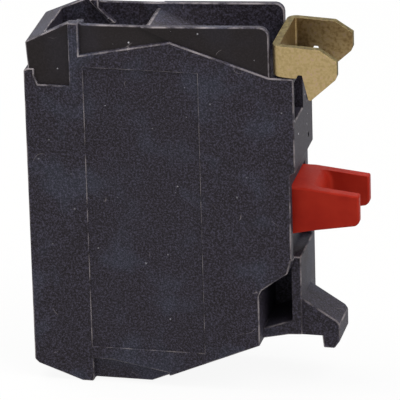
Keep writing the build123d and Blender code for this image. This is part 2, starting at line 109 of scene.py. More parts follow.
# Housing: near-black glass-filled polyamide 66, moulded in a spark-eroded tool.
# It gives the eye a dull dark face with a fine grain, a few pale specks and lighter rubbed edges.
housingLook = {
    "base": "#231F26",
    "dark": "#0B080B",
    "pale": "#444150",
    "warm": "#1D171B",
    "cool": "#3A3F4D",
    "rubbed": "#978F90",
    "dust": "#C9C8CE",
    "grime": "#0B090A",
    "grainSize": 0.21,       # mm, coarser than the real 0.05 mm spark grain so that it shows
    "grainShare": 0.70,      # how much of the tone comes from the grain, the rest from the clouds
    "bumpDepth": 0.03,       # mm
    "cloudSize": 5.5,        # mm, uneven flow of the glass-filled melt
    "dustSpacing": 1.3,      # mm between grains of dust and bare fibre ends
    "dustFrom": 0.48,        # the share of those places that stay clean
    "dustReach": 0.09,       # the largest grain's radius as a share of the spacing
    "hairSpacing": 3.2,      # mm between short handling scratches
    "hairSpotSize": 2.2,     # mm, the spots in which they show
    "hairStrength": 0.4,
    "edgeWidth": 0.12,       # mm
    "edgeStrength": 0.35,    # wear of the edges that are too narrow to be rounded
    "wornSize": 1.8,         # mm over which the wear of an edge comes and goes
    "jointWidth": 0.07,      # mm each side of the joint between the halves
    "jointStrength": 0.85,
    "roughness": 0.55,
    "specular": 0.14,        # carbon black and a matt skin leave little mirror reflection
}
# The stepped-back fields were moulded against smooth inserts: darker, browner and less grainy.
smoothLook = dict(housingLook, base="#191415", dark="#110D0E", pale="#262124", warm="#171211",
                  cool="#201D23", grainShare=0.5, roughness=0.5)


# Moulded polyamide with its dust, scratches and wear. The edge amount, from 0 to 1, is for a
# surface that is all edge; without it the edges are found by the turn of a rounded normal.
def housingPolyamide(name, look, edgeAmount=None):
    material, tree = newMaterial(name)
    place = addNode(tree, "ShaderNodeTexCoord").outputs["Object"]
    perMetre = 1 / mm
    cloud = addNode(tree, "ShaderNodeTexNoise",
                    {"Scale": perMetre / look["cloudSize"], "Detail": 3.0}, {"Vector": place})
    grain = addNode(tree, "ShaderNodeTexNoise",
                    {"Scale": perMetre / look["grainSize"], "Detail": 4.0, "Roughness": 0.75},
                    {"Vector": place})
    cloudTone = addNode(tree, "ShaderNodeValToRGB",
                        {"stops": [(0.36, look["warm"]), (0.52, look["base"]),
                                   (0.66, look["cool"])]}, {0: cloud.outputs["Fac"]})
    grainTone = addNode(tree, "ShaderNodeValToRGB",
                        {"stops": [(0.40, look["dark"]), (0.5, look["base"]),
                                   (0.60, look["pale"])]}, {0: grain.outputs["Fac"]})
    colour = addNode(tree, "ShaderNodeMix", {"data_type": "RGBA", 0: look["grainShare"]},
                     {6: cloudTone.outputs[0], 7: grainTone.outputs[0]}).outputs[2]

    # dust: the middles of a few cells of a Voronoi pattern, each cell with its own size
    cells = addNode(tree, "ShaderNodeTexVoronoi",
                    {"Scale": perMetre / look["dustSpacing"]}, {"Vector": place})
    split = addNode(tree, "ShaderNodeSeparateColor", links={0: cells.outputs["Color"]})
    reach = addNode(tree, "ShaderNodeMapRange",
                    {"From Min": look["dustFrom"], "From Max": 1.0, "To Max": look["dustReach"]},
                    {"Value": split.outputs[0]})
    grainOfDust = addNode(tree, "ShaderNodeMath", {"operation": "LESS_THAN"},
                          {0: cells.outputs["Distance"], 1: reach.outputs[0]})
    strength = addNode(tree, "ShaderNodeMath", {"operation": "MULTIPLY"},
                       {0: grainOfDust.outputs[0], 1: split.outputs[1]})
    colour = addNode(tree, "ShaderNodeMix",
                     {"data_type": "RGBA", 7: linearColour(look["dust"])},
                     {0: strength.outputs[0], 6: colour}).outputs[2]

    # handling scratches: thin bent lines where a distorted noise crosses its middle value,
    # kept only in a few spots of a wider noise
    hair = addNode(tree, "ShaderNodeTexNoise",
                   {"Scale": perMetre / look["hairSpacing"], "Detail": 0.0, "Distortion": 0.6},
                   {"Vector": place})
    off = addNode(tree, "ShaderNodeMath", {"operation": "SUBTRACT", 1: 0.5},
                  {0: hair.outputs["Fac"]})
    off = addNode(tree, "ShaderNodeMath", {"operation": "ABSOLUTE"}, {0: off.outputs[0]})
    line = addNode(tree, "ShaderNodeMapRange",
                   {"From Min": 0.005, "From Max": 0.002, "To Max": look["hairStrength"]},
                   {"Value": off.outputs[0]})
    spot = addNode(tree, "ShaderNodeTexNoise",
                   {"Scale": perMetre / look["hairSpotSize"], "Detail": 0.0}, {"Vector": place})
    only = addNode(tree, "ShaderNodeMapRange", {"From Min": 0.70, "From Max": 0.76},
                   {"Value": spot.outputs["Fac"]})
    scratch = addNode(tree, "ShaderNodeMath", {"operation": "MULTIPLY"},
                      {0: line.outputs[0], 1: only.outputs[0]})
    colour = addNode(tree, "ShaderNodeMix",
                     {"data_type": "RGBA", 7: linearColour(look["rubbed"])},
                     {0: scratch.outputs[0], 6: colour}).outputs[2]

    # rubbed edges, broken up along their length
    if edgeAmount is None:
        rounded = addNode(tree, "ShaderNodeBevel",
                          {"samples": 6, "Radius": look["edgeWidth"] * mm})
        flat = addNode(tree, "ShaderNodeNewGeometry")
        same = addNode(tree, "ShaderNodeVectorMath", {"operation": "DOT_PRODUCT"},
                       {0: rounded.outputs[0], 1: flat.outputs["Normal"]})
        edge = addNode(tree, "ShaderNodeMapRange",
                       {"From Min": 0.99, "From Max": 0.82, "To Max": look["edgeStrength"]},
                       {"Value": same.outputs["Value"]}).outputs[0]
    else:
        edge = addNode(tree, "ShaderNodeValue")
        edge.outputs[0].default_value = edgeAmount
        edge = edge.outputs[0]
    wornNoise = addNode(tree, "ShaderNodeTexNoise",
                        {"Scale": perMetre / look["wornSize"], "Detail": 4.0}, {"Vector": place})
    breakUp = addNode(tree, "ShaderNodeMapRange",
                      {"From Min": 0.42, "From Max": 0.62, "To Min": 0.08, "To Max": 1.0},
                      {"Value": wornNoise.outputs["Fac"]})
    wear = addNode(tree, "ShaderNodeMath", {"operation": "MULTIPLY"},
                   {0: edge, 1: breakUp.outputs[0]})
    colour = addNode(tree, "ShaderNodeMix",
                     {"data_type": "RGBA", 7: linearColour(look["rubbed"])},
                     {0: wear.outputs[0], 6: colour}).outputs[2]

    # the joint between the two halves, a dark line where y is nought; it leaves out the faces
    # that lie in that plane, which show in the recess behind the teeth
    axes = addNode(tree, "ShaderNodeSeparateXYZ", links={0: place})
    besideJoint = addNode(tree, "ShaderNodeMath", {"operation": "ABSOLUTE"}, {0: axes.outputs[1]})
    joint = addNode(tree, "ShaderNodeMapRange",
                    {"From Min": look["jointWidth"] * mm, "From Max": look["jointWidth"] * mm / 2,
                     "To Max": look["jointStrength"]}, {"Value": besideJoint.outputs[0]})
    facing = addNode(tree, "ShaderNodeSeparateXYZ", links={0: place.node.outputs["Normal"]})
    sideways = addNode(tree, "ShaderNodeMath", {"operation": "ABSOLUTE"}, {0: facing.outputs[1]})
    across = addNode(tree, "ShaderNodeMath", {"operation": "LESS_THAN", 1: 0.9},
                     {0: sideways.outputs[0]})
    grime = addNode(tree, "ShaderNodeMath", {"operation": "MULTIPLY"},
                    {0: joint.outputs[0], 1: across.outputs[0]})
    colour = addNode(tree, "ShaderNodeMix",
                     {"data_type": "RGBA", 7: linearColour(look["grime"])},
                     {0: grime.outputs[0], 6: colour}).outputs[2]

    shine = addNode(tree, "ShaderNodeMapRange",
                    {**noiseSpan, "To Min": look["roughness"] - 0.06,
                     "To Max": look["roughness"] + 0.1}, {"Value": grain.outputs["Fac"]})
    bump = addNode(tree, "ShaderNodeBump", {"Strength": 0.6, "Distance": look["bumpDepth"] * mm},
                   {"Height": grain.outputs["Fac"]})
    shader = addNode(tree, "ShaderNodeBsdfPrincipled",
                     {"IOR": 1.53, "Specular IOR Level": look["specular"]},
                     {"Base Color": colour, "Roughness": shine.outputs[0],
                      "Normal": bump.outputs[0]})
    addNode(tree, "ShaderNodeOutputMaterial", links={"Surface": shader.outputs[0]})
    return material


# Painted shade for the inside of a hole: a plain black that nothing lights up, standing in for
# the shade down in it.
holeShadeLook = {"colour": "#050405", "roughness": 0.9, "specular": 0.05}


# One even tone, without a pattern
def plainDark(name, look):
    material, tree = newMaterial(name)
    shader = addNode(tree, "ShaderNodeBsdfPrincipled",
                     {"Base Color": linearColour(look["colour"]), "Roughness": look["roughness"],
                      "Specular IOR Level": look["specular"]})
    addNode(tree, "ShaderNodeOutputMaterial", links={"Surface": shader.outputs[0]})
    return material


# Plunger: red polyamide, moulded in a blasted tool.
# It gives the eye an even, slightly waxy red with soft highlights.
plungerLook = {
    "base": "#8C2014",
    "deep": "#851B11",
    "pale": "#952618",
    "grainSize": 0.25,       # mm, coarser than the blasted skin's own so that it shows
    "cloudSize": 2.5,        # mm, streaks of the melt
    "bumpDepth": 0.02,       # mm
    "roughness": 0.5,
    "specular": 0.04,
    "softLight": 0.06,       # share of light that goes in and out again
    "softDepth": 0.4,        # mm that it goes in
}


# Three close reds in soft clouds, and a fine grain in the shine and the bump
def plungerPolyamide(name, look):
    material, tree = newMaterial(name)
    place = addNode(tree, "ShaderNodeTexCoord").outputs["Object"]
    grain = addNode(tree, "ShaderNodeTexNoise",
                    {"Scale": 1 / (look["grainSize"] * mm), "Detail": 2.0}, {"Vector": place})
    cloud = addNode(tree, "ShaderNodeTexNoise",
                    {"Scale": 1 / (look["cloudSize"] * mm), "Detail": 3.0}, {"Vector": place})
    colour = addNode(tree, "ShaderNodeValToRGB",
                     {"stops": [(0.3, look["deep"]), (0.5, look["base"]), (0.75, look["pale"])]},
                     {0: cloud.outputs["Fac"]})
    shine = addNode(tree, "ShaderNodeMapRange",
                    {**noiseSpan, "To Min": look["roughness"] - 0.08,
                     "To Max": look["roughness"] + 0.08}, {"Value": grain.outputs["Fac"]})
    bump = addNode(tree, "ShaderNodeBump", {"Strength": 0.4, "Distance": look["bumpDepth"] * mm},
                   {"Height": grain.outputs["Fac"]})
    shader = addNode(tree, "ShaderNodeBsdfPrincipled",
                     {"IOR": 1.53, "Specular IOR Level": look["specular"],
                      "Subsurface Weight": look["softLight"],
                      "Subsurface Scale": look["softDepth"] * mm},
                     {"Base Color": colour.outputs[0], "Roughness": shine.outputs[0],
                      "Normal": bump.outputs[0]})
    addNode(tree, "ShaderNodeOutputMaterial", links={"Surface": shader.outputs[0]})
    return material


# The plain metals and the carrier's nylon share one recipe: clouds of tone give the colour,
# and a grain that may be drawn out along one axis gives the shine and a slight bump. Sizes are
# in mm, and the grain is coarser than the real one so that it shows.
def drawnMetal(name, look):
    material, tree = newMaterial(name)
    place = addNode(tree, "ShaderNodeTexCoord").outputs["Object"]
    along = addNode(tree, "ShaderNodeMapping", {"Scale": look["stretch"]}, {"Vector": place})
    lines = addNode(tree, "ShaderNodeTexNoise",
                    {"Scale": 1 / (look["lineSize"] * mm), "Detail": 3.0},
                    {"Vector": along.outputs[0]})
    cloud = addNode(tree, "ShaderNodeTexNoise",
                    {"Scale": 1 / (look["cloudSize"] * mm), "Detail": 3.0}, {"Vector": place})
    colour = addNode(tree, "ShaderNodeValToRGB", {"stops": look["tones"]},
                     {0: cloud.outputs["Fac"]})
    shine = addNode(tree, "ShaderNodeMapRange",
                    {**noiseSpan, "To Min": look["roughness"] - 0.07,
                     "To Max": look["roughness"] + 0.09}, {"Value": lines.outputs["Fac"]})
    bump = addNode(tree, "ShaderNodeBump",
                   {"Strength": look["bump"], "Distance": 0.01 * mm},
                   {"Height": lines.outputs["Fac"]})
    shader = addNode(tree, "ShaderNodeBsdfPrincipled",
                     {"Metallic": look["metallic"],
                      "Specular IOR Level": look.get("specular", 0.5)},
                     {"Base Color": colour.outputs[0], "Roughness": shine.outputs[0],
                      "Normal": bump.outputs[0]})
    addNode(tree, "ShaderNodeOutputMaterial", links={"Surface": shader.outputs[0]})
    return material


# Cold-rolled steel, zinc plated and yellow passivated: olive gold with brown and pinkish clouds
clipLook = {
    "tones": [(0.32, "#98845C"), (0.45, "#A18D62"), (0.58, "#AB956C"), (0.70, "#A58B71")],
    "stretch": (1.0, 1.0, 1.0), "lineSize": 0.14, "cloudSize": 0.28,
    "roughness": 0.36, "metallic": 0.95, "bump": 0.5,
}
# The inside of the U, painted darker and browner as shade where the flaps keep the light off it
clipInsideShadeLook = {
    "tones": [(0.32, "#755F3F"), (0.45, "#8A744E"), (0.58, "#96825C"), (0.70, "#8F7862")],
    "stretch": (1.0, 1.0, 1.0), "lineSize": 0.14, "cloudSize": 0.35,
    "roughness": 0.36, "metallic": 0.95, "bump": 0.5,
}
# The clip's sheared edges: the torn steel takes the passivation dark, and it stays dull
clipEdgeLook = {
    "tones": [(0.35, "#423820"), (0.65, "#5F5435")],
    "stretch": (1.0, 1.0, 1.0), "lineSize": 0.15, "cloudSize": 0.5,
    "roughness": 0.6, "metallic": 0.0, "bump": 0.3, "specular": 0.1,
}
# Stamped brass strip: warm yellow with fine rolling lines
brassLook = {
    "tones": [(0.35, "#B98F4A"), (0.65, "#CBA45C")],
    "stretch": (1.0, 1.0, 0.1), "lineSize": 0.15, "cloudSize": 3.0,
    "roughness": 0.32, "metallic": 1.0, "bump": 0.3,
}
# Silver-nickel contact tips: matt, faintly grey
silverLook = {
    "tones": [(0.35, "#B9B9B6"), (0.65, "#D2D2CE")],
    "stretch": (1.0, 1.0, 1.0), "lineSize": 0.1, "cloudSize": 0.8,
    "roughness": 0.38, "metallic": 1.0, "bump": 0.2,
}
# Screw, washer and nut: steel with a clear blue passivated zinc plate
zincLook = {
    "tones": [(0.35, "#A8ABB0"), (0.65, "#C4C6C9")],
    "stretch": (1.0, 1.0, 1.0), "lineSize": 0.12, "cloudSize": 1.2,
    "roughness": 0.34, "metallic": 1.0, "bump": 0.25,
}
# Springs: drawn music wire, lightly oiled
wireLook = {
    "tones": [(0.35, "#6E6E6E"), (0.65, "#8A8988")],
    "stretch": (1.0, 1.0, 1.0), "lineSize": 0.08, "cloudSize": 1.0,
    "roughness": 0.3, "metallic": 1.0, "bump": 0.2,
}
# Contact carrier: natural nylon, ivory and slightly waxy
nylonLook = {
    "tones": [(0.35, "#CFC8B4"), (0.65, "#DCD6C4")],
    "stretch": (1.0, 1.0, 1.0), "lineSize": 0.2, "cloudSize": 2.5,
    "roughness": 0.45, "metallic": 0.0, "bump": 0.3,
}

housingMaterial = housingPolyamide("mouldedHousingPolyamide", housingLook)
rubbedMaterial = housingPolyamide("rubbedHousingEdge", housingLook, 0.55)
smoothMaterial = housingPolyamide("smoothHousingPolyamide", smoothLook)
paintedHoleShadeMaterial = plainDark("paintedHoleShade", holeShadeLook)
plungerMaterial = plungerPolyamide("mouldedRedPolyamide", plungerLook)
clipMaterial = drawnMetal("yellowPassivatedSheetSteel", clipLook)
clipInsideShadedMaterial = drawnMetal("yellowPassivatedInsideShaded", clipInsideShadeLook)
clipEdgeMaterial = drawnMetal("shearedClipEdge", clipEdgeLook)
brassMaterial = drawnMetal("stampedBrass", brassLook)
silverMaterial = drawnMetal("silverNickelTip", silverLook)
zincMaterial = drawnMetal("clearZincPlatedSteel", zincLook)
wireMaterial = drawnMetal("drawnSpringWire", wireLook)
nylonMaterial = drawnMetal("mouldedNaturalNylon", nylonLook)
print("materials made")


# A visible piece at the origin that rides on one body; material is one or a tuple of slots
def newPiece(name, body, material, mesh=None):
    piece = bpy.data.objects.new(name, mesh or bpy.data.meshes.new(name))
    bpy.context.scene.collection.objects.link(piece)
    for one in (material if isinstance(material, tuple) else (material,)):
        piece.data.materials.append(one)
    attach(piece, body)
    return piece


# Smooth shading that keeps every edge sharper than the given angle crisp
def shadeByAngle(mesh, degrees):
    mesh.polygons.foreach_set("use_smooth", np.ones(len(mesh.polygons), bool))
    mesh.set_sharp_from_angle(angle=math.radians(degrees))


# Quads between neighbouring rows and columns of a grid; across joins the last column to the first
def gridFaces(rows, columns, across=False, first=0):
    row = np.arange(rows - 1)[:, None]
    column = np.arange(columns if across else columns - 1)[None, :]
    following = (column + 1) % columns
    corners = (row * columns + column, row * columns + following,
               (row + 1) * columns + following, (row + 1) * columns + column)
    return np.stack([c + first + 0 * row for c in corners], -1).reshape(-1, 4)


# Closes one end ring of a tube with a fan of triangles round a middle point
def fanFaces(ring, middle, turned):
    following = np.roll(ring, -1)
    fan = np.stack([ring, following, np.full(len(ring), middle)], -1)
    return fan[:, ::-1] if turned else fan


# A mesh from an array of points in metres and arrays of faces
def meshFrom(name, points, faceGroups):
    mesh = bpy.data.meshes.new(name)
    faces = [tuple(face) for group in faceGroups for face in group.tolist()]
    mesh.from_pydata(points.tolist(), [], faces)
    mesh.update()
    return mesh


# A copy of a solid, its loose triangles merged and its flat faces made whole again
def mergedSolid(nodeName):
    solid = bmesh.new()
    solid.from_mesh(nodes[nodeName].data)
    bmesh.ops.remove_doubles(solid, verts=solid.verts, dist=mergeDistance)
    bmesh.ops.dissolve_limit(solid, angle_limit=flatAngle, verts=solid.verts, edges=solid.edges)
    return solid


# Room beside an edge on one of its faces: the least distance, square to the edge, from its
# line to any other edge of that face that passes beside it
def roomBeside(edge, face):
    touch, nothing, endShare = 1e-7, 1e-9, 0.02   # m, m, share of the edge left out at each end
    start = np.array(edge.verts[0].co)
    along = np.array(edge.verts[1].co) - start
    length = np.linalg.norm(along)
    along = along / length
    corners = np.array([vert.co for vert in face.verts]) - start
    t = corners @ along
    away = np.linalg.norm(corners - t[:, None] * along, axis=1)
    t2, away2 = np.roll(t, -1), np.roll(away, -1)
    other = (away > touch) | (away2 > touch)
    low, high = np.minimum(t, t2), np.maximum(t, t2)
    other &= (high > endShare * length) & (low < (1 - endShare) * length)
    touching = np.minimum(away, away2) < touch
    span = np.where(high - low < nothing, 1.0, t2 - t)
    atStart = away + (away2 - away) * np.clip((0 - t) / span, 0, 1)
    atEnd = away + (away2 - away) * np.clip((length - t) / span, 0, 1)
    nearest = np.where(touching, np.maximum(away, away2), np.minimum(atStart, atEnd))
    return nearest[other].min() if other.any() else length


# Rounds the outer edges: each gets the full radius, or less where the faces beside it are
# narrow. Edges in the joint between the halves stay sharp, and so do those of faces that
# carry the material in sharpSlot.
def roundEdges(piece, solid, radius, edgeSlot=0, keepJoint=False, sharpSlot=None):
    roomShare, sharpAngle = 0.4, math.radians(28)   # most of a face that a round takes
    layer = solid.edges.layers.float.new("bevel_weight_edge")
    for edge in solid.edges:
        sharp = edge.is_convex and edge.calc_face_angle(0) > sharpAngle
        atJoint = keepJoint and all(abs(vert.co.y) < 0.01 * mm for vert in edge.verts)
        crisp = any(face.material_index == sharpSlot for face in edge.link_faces)
        if len(edge.link_faces) == 2 and sharp and not atJoint and not crisp:
            room = min(roomBeside(edge, face) for face in edge.link_faces)
            edge[layer] = min(1.0, roomShare * room / (radius * mm))
    solid.to_mesh(piece.data)
    solid.free()
    bevel = piece.modifiers.new("roundEdges", "BEVEL")
    bevel.limit_method = "WEIGHT"
    bevel.width = radius * mm
    bevel.segments = 2
    bevel.use_clamp_overlap = False
    bevel.material = edgeSlot
    shadeByAngle(piece.data, 30)
    flatten = piece.modifiers.new("flatFaces", "WEIGHTED_NORMAL")
    flatten.keep_sharp = True
    flatten.weight = 90


# The same for a solid that stays as it is: the modifiers merge and round it
def softenNode(nodeName, radius):
    node = nodes[nodeName]
    weld = node.modifiers.new("weld", "WELD")
    weld.merge_threshold = mergeDistance
    flat = node.modifiers.new("wholeFaces", "DECIMATE")
    flat.decimate_type = "DISSOLVE"
    flat.angle_limit = flatAngle
    bevel = node.modifiers.new("roundEdges", "BEVEL")
    bevel.width = radius * mm
    bevel.segments = 2
    bevel.limit_method = "ANGLE"
    bevel.angle_limit = math.radians(35)
    bevel.harden_normals = True
    node.data.polygons.foreach_set("use_smooth", np.ones(len(node.data.polygons), bool))


# Housing: the two moulded shells with rounded, slightly rubbed edges, all in mm.
# The smooth fields lie between two depths, high up on the side faces. The small round hole in
# the front face gets painted shade inside, and its place is y, z.
housingShape = {"edgeRadius": 0.14, "smoothInside": 4.3, "smoothOutside": 4.8, "smoothAbove": 14,
                "holePlace": (2.6, 6.7), "holeRadius": 0.3, "holeDepth": 1.0}
# the fourth slot carries the painted shade inside the small hole
edgeSlot, smoothSlot, holeShadeSlot = 1, 2, 3   # places in a shell's row of materials
for side in ("near", "far"):
    shell = newPiece("housing_shell_" + side, "housing",
                     (housingMaterial, rubbedMaterial, smoothMaterial, paintedHoleShadeMaterial))
    solid = mergedSolid("housing_" + side)
    for face in solid.faces:
        middle = face.calc_center_median() / mm
        stepped = housingShape["smoothInside"] < abs(middle.y) < housingShape["smoothOutside"]
        if abs(face.normal.y) > 0.99 and stepped and middle.z > housingShape["smoothAbove"]:
            face.material_index = smoothSlot
        # faces inside the small round hole in the front face take the painted hole shade
        fromHole = math.dist((middle.y, middle.z), housingShape["holePlace"])
        inside = -housingShape["holeDepth"] < middle.x < -0.01
        if fromHole < housingShape["holeRadius"] and inside:
            face.material_index = holeShadeSlot
    roundEdges(shell, solid, housingShape["edgeRadius"], edgeSlot, keepJoint=True,
               sharpSlot=holeShadeSlot)
    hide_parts("housing_" + side)
print("housing shells rounded")

# Plunger: the moulded fork with soft edges, in mm
plungerShape = {"edgeRadius": 0.18}
plungerPiece = newPiece("plunger_fork", "plunger", plungerMaterial)
roundEdges(plungerPiece, mergedSolid("plunger_head"), plungerShape["edgeRadius"])
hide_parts("plunger_head")
print("plunger rounded")

# Latch clip: one blank of sheet, bent round the block and down into its slot.
# All in mm; outline points are x, z on a flap.
clipShape = {
    "halfWidth": 4.9, "sheet": 0.8, "rearX": -2.4, "noseX": 4.8, "bendRadius": 0.7,
    "top": [(-2.4, 19.75), (2.85, 19.5), (4.8, 18.25)],
    "bottom": [(-2.4, 16.5), (-2.15, 16.25), (-0.3, 16.1), (0.3, 16.1), (0.5, 16.5),
               (0.95, 16.5), (1.6, 13.7), (1.85, 13.6), (4.6, 16.15), (4.8, 16.6)],
    "plateBottom": 16.3,
    "tailHalfWidth": 1.6, "footHalfWidth": 1.2, "footEndX": -5.3, "footZ": 7.0,
    "footBendRadius": 0.55, "edgeRadius": 0.07,
}


# Half of the sheet's middle line in plan: along a flap from the nose, a quarter turn, then
# half the plate. Gives x, y and how far each point is turned, 0 on the flap to 1 on the plate.
def clipPlanLine(shape):
    half = shape["halfWidth"] - shape["sheet"] / 2
    rear = shape["rearX"] + shape["sheet"] / 2
    radius = shape["bendRadius"]
    cornerX = sorted({x for x, z in shape["top"] + shape["bottom"] if x > rear + radius},
                     reverse=True)
    flapX = np.unique(np.concatenate([cornerX, np.linspace(rear + radius, shape["noseX"], 12)]))
    flapX = flapX[::-1]
    angle = np.linspace(0, math.pi / 2, 9)[1:]
    bendX = rear + radius - radius * np.sin(angle)
    bendY = half - radius + radius * np.cos(angle)
    plateY = np.array([3.2, 2.4, shape["tailHalfWidth"], 0.8, 0.0])   # the tail ends at one
    x = np.concatenate([flapX, bendX, np.full(len(plateY), rear)])
    y = np.concatenate([np.full(len(flapX), half), bendY, plateY])
    turned = np.concatenate([np.zeros(len(flapX)), angle / (math.pi / 2), np.ones(len(plateY))])
    return x, y, turned


# The bent sheet: the plan line is carried from the bottom outline to the top outline, and the
# bottom outline goes over to the plate's as the line turns. The tail hangs from the plate:
# straight down, a quarter turn, then straight to the rear, and gets narrower round the bend.
def clipMesh(shape):
    x, y, turned = clipPlanLine(shape)
    x = np.concatenate([x, x[-2::-1]])
    y = np.concatenate([-y, y[-2::-1]])
    turned = np.concatenate([turned, turned[-2::-1]])
    top = np.interp(x, *np.array(shape["top"]).T)
    low = np.interp(x, *np.array(shape["bottom"]).T)
    low = low + (shape["plateBottom"] - low) * turned
    t = np.linspace(0, 1, 7)[:, None]
    sheet = np.stack([x + 0 * t, y + 0 * t, low + (top - low) * t], -1)
    rows, columns = sheet.shape[:2]

    onTail = (np.abs(y) <= shape["tailHalfWidth"] + 1e-6) & (turned == 1)
    across = y[onTail] / shape["tailHalfWidth"]
    radius = shape["footBendRadius"]
    middleX = shape["rearX"] + shape["sheet"] / 2
    middleZ = shape["footZ"] + shape["sheet"] / 2
    straight = np.linspace(shape["plateBottom"], middleZ + radius, 10)
    angle = np.linspace(0, math.pi / 2, 8)[1:]
    run = np.linspace(middleX - radius, shape["footEndX"], 5)[1:]
    lineX = np.concatenate([np.full(len(straight), middleX),
                            middleX - radius * (1 - np.cos(angle)), run])
    lineZ = np.concatenate([straight, middleZ + radius - radius * np.sin(angle),
                            np.full(len(run), middleZ)])
    aroundBend = [len(straight) - 2, len(straight) + 2]
    width = np.interp(np.arange(len(lineX)), aroundBend,
                      [shape["tailHalfWidth"], shape["footHalfWidth"]])
    tail = np.stack([lineX[:, None] + 0 * across, width[:, None] * across,
                     lineZ[:, None] + 0 * across], -1)
    points = np.concatenate([sheet.reshape(-1, 3), tail.reshape(-1, 3)]) * mm
    return meshFrom("latch_clip_sheet", points,
                    [gridFaces(rows, columns)[:, ::-1],
                     gridFaces(*tail.shape[:2], first=rows * columns)])


# The sheet gets its thickness to both sides of the middle line, then its edges a small round
def makeClip(shape):
    piece = newPiece("latch_clip_sheet", "latch",
                     (clipMaterial, clipEdgeMaterial, clipInsideShadedMaterial),
                     clipMesh(shape))
    blank = bmesh.new()
    blank.from_mesh(piece.data)
    bmesh.ops.remove_doubles(blank, verts=blank.verts, dist=0.001 * mm)
    bmesh.ops.recalc_face_normals(blank, faces=blank.faces)
    blank.to_mesh(piece.data)
    blank.free()
    thick = piece.modifiers.new("sheet", "SOLIDIFY")
    thick.thickness = shape["sheet"] * mm
    thick.offset = 0.0
    thick.use_even_offset = True
    thick.use_quality_normals = True
    # the inside of the U takes the painted shade
    thick.material_offset = 2       # the inside of the U
    thick.material_offset_rim = 1   # the sheared edges
    bevel = piece.modifiers.new("shearedEdges", "BEVEL")
    bevel.width = shape["edgeRadius"] * mm
    bevel.segments = 2
    bevel.limit_method = "ANGLE"
    bevel.angle_limit = math.radians(50)
    bevel.harden_normals = True
    shadeByAngle(piece.data, 40)
    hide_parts("latch_clip")


makeClip(clipShape)
print("latch clip bent")

# Springs: closed end turns, ground flat.
# Place and size in mm; the axis is x or z, and other is the place along the third axis.
springShapes = {
    "return_spring": {"radius": 2.1, "wire": 0.45, "turns": 8.0, "axis": "x",
                      "y": 0.0, "other": 0.0, "body": "plunger",
                      "joint": "plunger_slide", "travel": 4.3, "anchorAtEnd": True},
    "contact_spring": {"radius": 1.6, "wire": 0.35, "turns": 5.5, "axis": "x",
                       "y": 0.0, "other": 0.0, "body": "bridge", "joint": None},
    "latch_spring": {"radius": 1.0, "wire": 0.28, "turns": 7.5, "axis": "z",
                     "y": 0.0, "other": -3.9, "body": "latch",
                     "joint": "latch_slide", "travel": 2.0, "anchorAtEnd": False},
}


# A round wire carried along a helix. The height climbs by one wire a turn at both ends and
# evenly in between; what would stand past the ends is ground off flat.
def springMesh(name, shape, length):
    turns, wire, radius = shape["turns"], shape["wire"], shape["radius"]
    perTurn, perRing, groundOff = 30, 12, 0.3   # points, points, share of the wire
    angle = np.linspace(0, turns * 2 * math.pi, int(turns * perTurn) + 1)
    turn = angle / (2 * math.pi)
    first, closed = wire * groundOff, wire * (1 + groundOff)
    climb = np.interp(turn, [0, 1.0, turns - 1.0, turns],
                      [first, closed, length - closed, length - first])
    out = np.stack([np.cos(angle), np.sin(angle), 0 * angle], -1)
    up = np.array([0.0, 0.0, 1.0])
    around = np.linspace(0, 2 * math.pi, perRing, endpoint=False)
    ring = (np.cos(around)[None, :, None] * out[:, None, :]
            + np.sin(around)[None, :, None] * up) * wire / 2
    points = out[:, None, :] * radius + climb[:, None, None] * up + ring
    points[..., 2] = np.clip(points[..., 2], 0, length)
    rows, columns = points.shape[:2]
    ends = np.stack([points[0].mean(0), points[-1].mean(0)])
    points = np.concatenate([points.reshape(-1, 3), ends])
    count = rows * columns
    firstRing, lastRing = np.arange(columns), np.arange(count - columns, count)
    return points, [gridFaces(rows, columns, across=True)[:, ::-1],
                    fanFaces(firstRing, count, False), fanFaces(lastRing, count + 1, True)]


# Winds one spring into the box of its solid; one that works between two bodies gets a mesh of
# its own
def makeSpring(name, shape):
    low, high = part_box(name)
    along = 0 if shape["axis"] == "x" else 2
    length = (high[along] - low[along]) / mm
    points, faces = springMesh(name, shape, length)
    if shape["axis"] == "x":
        points = points[:, [2, 0, 1]] + [low[0] / mm, shape["y"], shape["other"]]
    else:
        points = points + [shape["other"], shape["y"], low[2] / mm]
    mesh = meshFrom(name + "_coil", points * mm, faces)
    piece = newPiece(name + "_coil", shape["body"], wireMaterial, mesh)
    shadeByAngle(mesh, 50)
    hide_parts(name)
    if shape["joint"]:
        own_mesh(piece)


for name, shape in springShapes.items():
    makeSpring(name, shape)
print("springs wound")

# Terminal screws: the driven head of the solid on a rolled M3.5 thread, all in mm
screwShape = {
    "major": 1.75, "minor": 1.42, "pitch": 0.6,      # radii of the thread, and its pitch
    "z": 14.3, "headX": -19.8, "endX": -12.2,
    "runIn": 0.6, "taper": 0.5, "pointDrop": 0.25,   # start of the thread, end, and its fall
}


